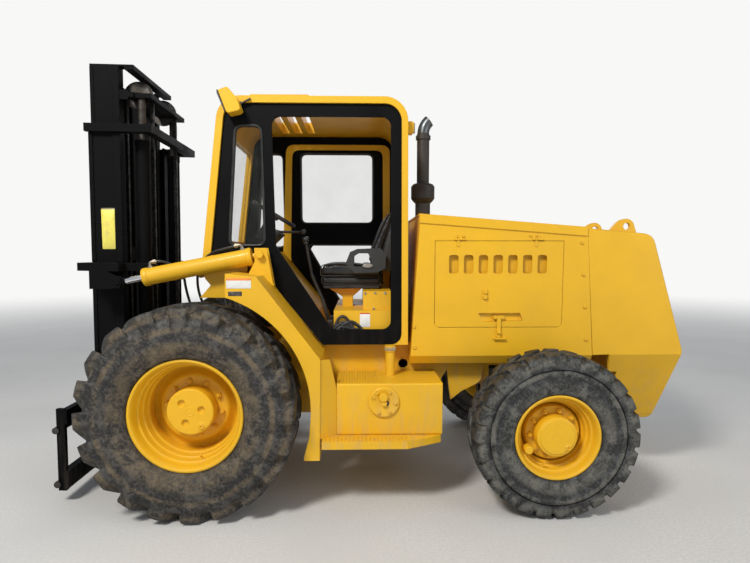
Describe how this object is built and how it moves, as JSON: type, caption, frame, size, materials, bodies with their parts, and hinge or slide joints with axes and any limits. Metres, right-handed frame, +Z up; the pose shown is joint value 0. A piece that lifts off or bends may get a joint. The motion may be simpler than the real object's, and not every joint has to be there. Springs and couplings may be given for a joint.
{
  "type": "rough-terrain mast forklift",
  "caption": "Rough-terrain mast forklift with pneumatic tyres, a closed cab, an upright mast that tilts and lifts, a carriage without forks and steered rear wheels.",
  "frame": {"origin": "on the ground under the middle of the whole machine, mast lowered", "axes": "+X to the machine's rear, +Y to its right side, +Z up"},
  "size_m": [4.0123, 2.2, 2.7622],
  "materials": {
    "body_yellow": "semi-gloss paint, dusty",
    "mast_black": "satin black paint, scuffed",
    "lamp_glass": "ribbed glass before a dark reflector",
    "axle_dark": "painted casting with grime",
    "cab_black": "satin black paint",
    "cab_glass": "clear safety glass",
    "seat_vinyl": "black vinyl",
    "controls_black": "black plastic",
    "engine_iron": "painted iron",
    "exhaust_black": "heatproof black, dull",
    "rod_chrome": "hard chrome",
    "chain_steel": "oiled steel",
    "shaft_steel": "bare steel, worn",
    "front_tyre_rubber": "rubber caked with brown dirt",
    "rear_tyre_rubber": "grey-black rubber",
    "rim_yellow": "paint, dusty"
  },
  "bodies": {
    "chassis": {"chassis_frame": "body_yellow", "front_axle": "axle_dark", "rear_axle": "axle_dark", "side_plates": "body_yellow", "fuel_tank": "body_yellow", "hydraulic_tank": "body_yellow", "steps": "body_yellow", "cab_front": "body_yellow", "cab_roof": "body_yellow", "cab_rear": "body_yellow", "cab_side_left": "cab_black", "cab_side_right": "cab_black", "cab_glass": "cab_glass", "cab_floor": "body_yellow", "toe_panel": "body_yellow", "seat_pedestal": "body_yellow", "seat_cushion": "seat_vinyl", "seat_back": "seat_vinyl", "seat_arms": "seat_vinyl", "driving_controls": "controls_black", "hood_body": "body_yellow", "hood_top": "body_yellow", "counterweight": "body_yellow", "engine_block": "engine_iron", "exhaust_stack": "exhaust_black", "work_lights": "body_yellow", "radiator": "engine_iron", "lamp_lenses": "lamp_glass", "exhaust_tip": "shaft_steel", "floor_levers": "controls_black", "pedals": "controls_black"},
    "mast": {"mast_outer": "mast_black", "lift_barrels": "mast_black"},
    "mast_middle_stage": {"mast_middle": "mast_black", "lift_rods": "rod_chrome", "lift_chains": "chain_steel", "chain_sheaves": "chain_steel"},
    "mast_inner_stage": {"mast_inner": "mast_black"},
    "carriage_body": {"carriage": "mast_black", "fork_shafts": "shaft_steel"},
    "front_wheel_left": {"front_tyre_left": "front_tyre_rubber", "front_rim_left": "rim_yellow"},
    "rear_wheel_left": {"rear_tyre_left": "rear_tyre_rubber", "rear_rim_left": "rim_yellow"},
    "knuckle_left_body": {"knuckle_left": "axle_dark"},
    "tilt_barrel_left_body": {"tilt_barrel_left": "body_yellow"},
    "tilt_rod_left_body": {"tilt_rod_left": "rod_chrome"},
    "hood_door_left_body": {"hood_door_left": "body_yellow"},
    "front_wheel_right": {"front_tyre_right": "front_tyre_rubber", "front_rim_right": "rim_yellow"},
    "rear_wheel_right": {"rear_tyre_right": "rear_tyre_rubber", "rear_rim_right": "rim_yellow"},
    "knuckle_right_body": {"knuckle_right": "axle_dark"},
    "tilt_barrel_right_body": {"tilt_barrel_right": "body_yellow"},
    "tilt_rod_right_body": {"tilt_rod_right": "rod_chrome"},
    "hood_door_right_body": {"hood_door_right": "body_yellow"}
  },
  "joints": [
    {"name": "front_wheel_left_spin", "type": "hinge", "parent": "chassis", "child": "front_wheel_left", "pos_m": [-1.10384, -0.8775, 0.631], "axis": [0, 1, 0], "continuous": true},
    {"name": "front_wheel_right_spin", "type": "hinge", "parent": "chassis", "child": "front_wheel_right", "pos_m": [-1.10384, 0.8775, 0.631], "axis": [0, 1, 0], "continuous": true},
    {"name": "steer_left", "type": "hinge", "parent": "chassis", "child": "knuckle_left_body", "pos_m": [1.03116, -0.7, 0.49], "axis": [0, 0, 1], "range_deg": [-32, 32]},
    {"name": "rear_wheel_left_spin", "type": "hinge", "parent": "knuckle_left_body", "child": "rear_wheel_left", "pos_m": [1.03116, -0.925, 0.49], "axis": [0, 1, 0], "continuous": true},
    {"name": "steer_right", "type": "hinge", "parent": "chassis", "child": "knuckle_right_body", "pos_m": [1.03116, 0.7, 0.49], "axis": [0, 0, 1], "range_deg": [-32, 32]},
    {"name": "rear_wheel_right_spin", "type": "hinge", "parent": "knuckle_right_body", "child": "rear_wheel_right", "pos_m": [1.03116, 0.925, 0.49], "axis": [0, 1, 0], "continuous": true},
    {"name": "mast_tilt", "type": "hinge", "parent": "chassis", "child": "mast", "pos_m": [-1.56384, 0, 0.6], "axis": [0, 1, 0], "range_deg": [-11, 8]},
    {"name": "lift_middle", "type": "slide", "parent": "mast", "child": "mast_middle_stage", "axis": [0.0175, 0, 0.9998], "range_m": [0, 1.45]},
    {"name": "lift_inner", "type": "slide", "parent": "mast_middle_stage", "child": "mast_inner_stage", "axis": [0.0175, 0, 0.9998], "range_m": [0, 1.45]},
    {"name": "carriage_lift", "type": "slide", "parent": "mast_inner_stage", "child": "carriage_body", "axis": [0.0175, 0, 0.9998], "range_m": [0, 1.5]},
    {"name": "tilt_barrel_left_swing", "type": "hinge", "parent": "chassis", "child": "tilt_barrel_left_body", "pos_m": [-0.72884, -0.62, 1.543], "axis": [0, 1, 0], "range_deg": [-1.16, 1.4]},
    {"name": "tilt_rod_left_slide", "type": "slide", "parent": "tilt_barrel_left_body", "child": "tilt_rod_left_body", "axis": [0.9818, 0, 0.1897], "range_m": [-0.1505, 0.1103]},
    {"name": "tilt_barrel_right_swing", "type": "hinge", "parent": "chassis", "child": "tilt_barrel_right_body", "pos_m": [-0.72884, 0.62, 1.543], "axis": [0, 1, 0], "range_deg": [-1.16, 1.4]},
    {"name": "tilt_rod_right_slide", "type": "slide", "parent": "tilt_barrel_right_body", "child": "tilt_rod_right_body", "axis": [0.9818, 0, 0.1897], "range_m": [-0.1505, 0.1103]},
    {"name": "hood_door_left_hinge", "type": "hinge", "parent": "chassis", "child": "hood_door_left_body", "pos_m": [-1.10384, -0.586, 1.64], "axis": [-1, 0, 0], "range_deg": [0, 80]},
    {"name": "hood_door_right_hinge", "type": "hinge", "parent": "chassis", "child": "hood_door_right_body", "pos_m": [-1.10384, 0.586, 1.64], "axis": [1, 0, 0], "range_deg": [0, 80]}
  ],
  "couplings": [
    {"joint": "steer_right", "follows": "steer_left", "ratio": 1},
    {"joint": "lift_inner", "follows": "lift_middle", "ratio": 1},
    {"joint": "tilt_barrel_left_swing", "follows": "mast_tilt", "ratio": -0.082126},
    {"joint": "tilt_rod_left_slide", "follows": "mast_tilt", "m_per_rad": 0.76847},
    {"joint": "tilt_barrel_right_swing", "follows": "mast_tilt", "ratio": -0.082126},
    {"joint": "tilt_rod_right_slide", "follows": "mast_tilt", "m_per_rad": 0.76847}
  ]
}
